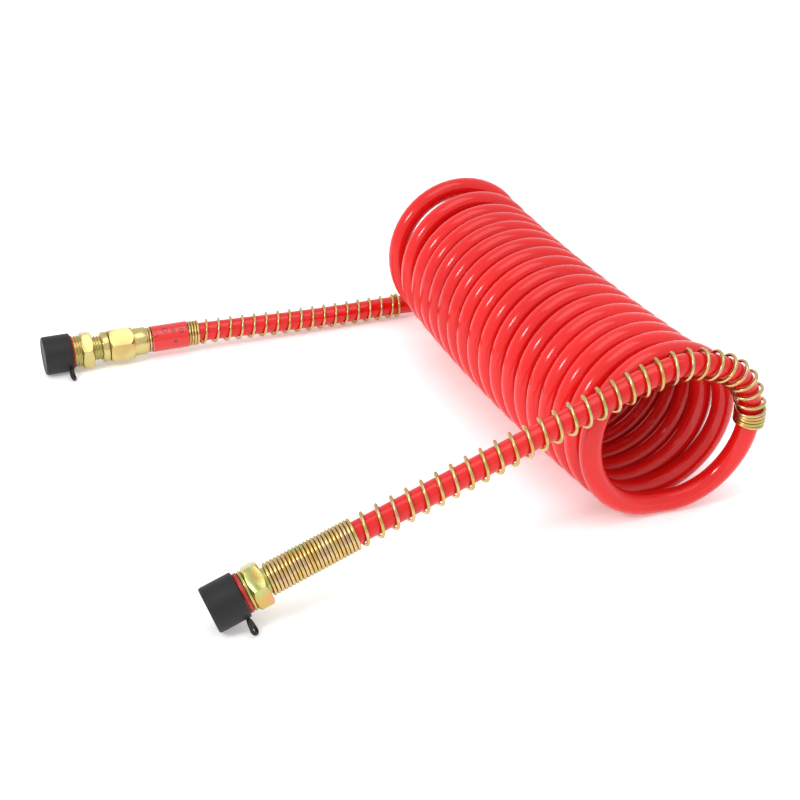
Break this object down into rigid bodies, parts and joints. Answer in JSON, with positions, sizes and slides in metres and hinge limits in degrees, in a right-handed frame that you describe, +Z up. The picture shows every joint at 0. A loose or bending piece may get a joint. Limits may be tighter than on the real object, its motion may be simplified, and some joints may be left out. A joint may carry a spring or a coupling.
{
  "type": "coiled air hose",
  "caption": "Self-storing coiled nylon air hose with sprung leads, a fixed and a swivel male pipe-thread end, and rubber dust caps.",
  "frame": {"origin": "on the ground, under the middle of the object's box as it lies stored", "axes": "+Z up; the coil lies along Y, its near turn towards -Y; both leads run towards -X"},
  "size_m": [0.3462, 0.3386, 0.1071],
  "materials": {
    "red_nylon": "glossy",
    "zinc_spring": "satin",
    "gold_brass": "polished",
    "pale_brass": "polished",
    "plain_brass": "satin",
    "red_sealant": "matte",
    "black_rubber": "satin",
    "label_sleeve": "glossy",
    "seal_rubber": "matte",
    "ring_steel": "satin"
  },
  "bodies": {
    "near_end": {"hose_coil": "red_nylon", "near_lead": "red_nylon", "near_spring_guard": "zinc_spring", "near_nut": "gold_brass", "near_fitting_body": "gold_brass", "near_ferrule": "plain_brass", "near_tube_insert": "plain_brass", "near_thread_sealant": "red_sealant"},
    "near_cap": {"near_dust_cap": "black_rubber"},
    "far_end": {"far_lead": "red_nylon", "far_spring_guard": "zinc_spring", "far_label_sleeve": "label_sleeve", "far_swivel_body": "pale_brass", "far_ferrule": "plain_brass", "far_tube_insert": "plain_brass"},
    "swivel_end": {"far_swivel_collar": "pale_brass", "far_swivel_seal": "seal_rubber", "far_retaining_ring": "ring_steel", "far_adapter": "pale_brass", "far_thread_sealant": "red_sealant"},
    "far_cap": {"far_dust_cap": "black_rubber"}
  },
  "joints": [
    {"name": "coil_stretch", "type": "slide", "parent": "near_end", "child": "far_end", "axis": [0, 1, 0], "range_m": [0, 1.2], "stiffness_N_per_m": 25, "deforming": ["hose_coil"]},
    {"name": "swivel_turn", "type": "hinge", "parent": "far_end", "child": "swivel_end", "pos_m": [-0.12683, 0.1547, 0.01265], "axis": [0.9991, -0.0416, 0], "continuous": true},
    {"name": "far_cap_pull", "type": "slide", "parent": "swivel_end", "child": "far_cap", "axis": [-0.9991, 0.0416, 0], "range_m": [0, 0.022]},
    {"name": "near_cap_pull", "type": "slide", "parent": "near_end", "child": "near_cap", "axis": [-0.9487, 0, -0.3162], "range_m": [0, 0.022]}
  ]
}
